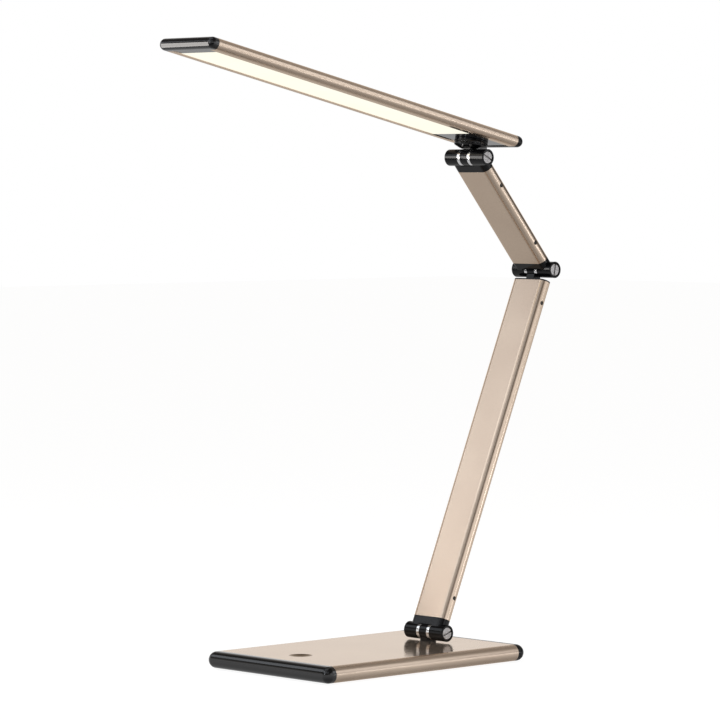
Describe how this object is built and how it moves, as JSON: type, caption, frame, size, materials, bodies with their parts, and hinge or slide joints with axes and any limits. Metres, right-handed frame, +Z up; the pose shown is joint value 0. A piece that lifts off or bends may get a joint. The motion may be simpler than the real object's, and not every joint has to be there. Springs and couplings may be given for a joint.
{
  "type": "led desk lamp",
  "caption": "Slim LED desk lamp: flat weighted base with a touch dimmer dish, a two-section folding arm on friction hinges, and a flat tilting, swivelling light head.",
  "frame": {"origin": "Centre of the base's underside, on the desk, midway between the two black end caps and midway across the base.", "axes": "+Z up from the desk; -Y to the front, the end with the touch dish and over which the head reaches; +X to the right seen from the front, the side with the slotted screw heads."},
  "size_m": [0.131, 0.3568, 0.4533],
  "materials": {
    "champagne": "satin champagne anodised",
    "black_gloss": "moulded gloss black",
    "pad_rubber": "matt non-slip",
    "plain_steel": "plain zinc plated",
    "touch_metal": "turned dish, anodised",
    "contact_brass": "bright turned",
    "board_green": "solder resist",
    "inner_plastic": "moulded matt black",
    "screw_steel": "turned, slotted",
    "lead_rubber": "matt sleeve",
    "hinge_black": "satin black",
    "dark_screw": "blackened",
    "bright_ring": "polished",
    "lit_opal": "opal diffuser, lit",
    "clear_acrylic": "clear, edge lit",
    "white_sheet": "white reflecting sheet",
    "board_white": "white solder resist",
    "led_amber": "phosphor filled"
  },
  "bodies": {
    "base": {"base_shell": "champagne", "base_front_cap": "black_gloss", "base_rear_cap": "black_gloss", "base_pad": "pad_rubber", "base_ballast": "plain_steel", "touch_dish": "touch_metal", "touch_electrode": "contact_brass", "control_board": "board_green", "board_tray": "inner_plastic", "tray_screws": "screw_steel", "dc_jack": "inner_plastic", "dc_jack_pin": "contact_brass", "base_leads": "lead_rubber", "hinge_foot": "hinge_black", "hinge_foot_screws": "screw_steel"},
    "lower_arm": {"lower_arm_tube": "champagne", "lower_arm_fork": "hinge_black", "lower_arm_tongue": "hinge_black", "lower_arm_side_screws": "dark_screw", "lower_arm_lead": "lead_rubber", "base_pivot_screw": "screw_steel", "base_pivot_spring": "plain_steel", "base_pivot_nut": "plain_steel", "base_hinge_rings": "bright_ring"},
    "upper_arm": {"upper_arm_tube": "champagne", "upper_arm_elbow_fork": "hinge_black", "upper_arm_head_fork": "hinge_black", "upper_arm_side_screws": "dark_screw", "upper_arm_lead": "lead_rubber", "elbow_pivot_screw": "screw_steel", "elbow_pivot_spring": "plain_steel", "elbow_pivot_nut": "plain_steel", "elbow_hinge_rings": "bright_ring", "head_pivot_screw": "screw_steel", "head_pivot_spring": "plain_steel", "head_pivot_nut": "plain_steel", "head_hinge_rings": "bright_ring"},
    "swivel_mount": {"swivel_knuckle": "hinge_black", "swivel_bolt": "screw_steel", "swivel_spring": "plain_steel", "swivel_washer": "bright_ring"},
    "head": {"swivel_plate": "hinge_black", "swivel_plate_screws": "screw_steel", "head_mount_block": "black_gloss", "head_shell": "champagne", "head_front_cap": "black_gloss", "head_rear_cap": "black_gloss", "head_front_plate": "black_gloss", "diffuser": "lit_opal", "light_guide": "clear_acrylic", "back_reflector": "white_sheet", "led_boards": "board_white", "leds": "led_amber"}
  },
  "joints": [
    {"name": "base_tilt", "type": "hinge", "parent": "base", "child": "lower_arm", "pos_m": [0, 0.0621, 0.0198], "axis": [-1, 0, 0], "range_deg": [-23, 36]},
    {"name": "elbow", "type": "hinge", "parent": "lower_arm", "child": "upper_arm", "pos_m": [0, 0.17588, 0.28655], "axis": [1, 0, 0], "range_deg": [-63, 26]},
    {"name": "head_tilt", "type": "hinge", "parent": "upper_arm", "child": "swivel_mount", "pos_m": [0, 0.10394, 0.37108], "axis": [1, 0, 0], "range_deg": [-37, 52]},
    {"name": "head_swivel", "type": "hinge", "parent": "swivel_mount", "child": "head", "pos_m": [0, 0.10394, 0.37108], "axis": [0, 0.2147, 0.9767], "range_deg": [-90, 90]}
  ]
}
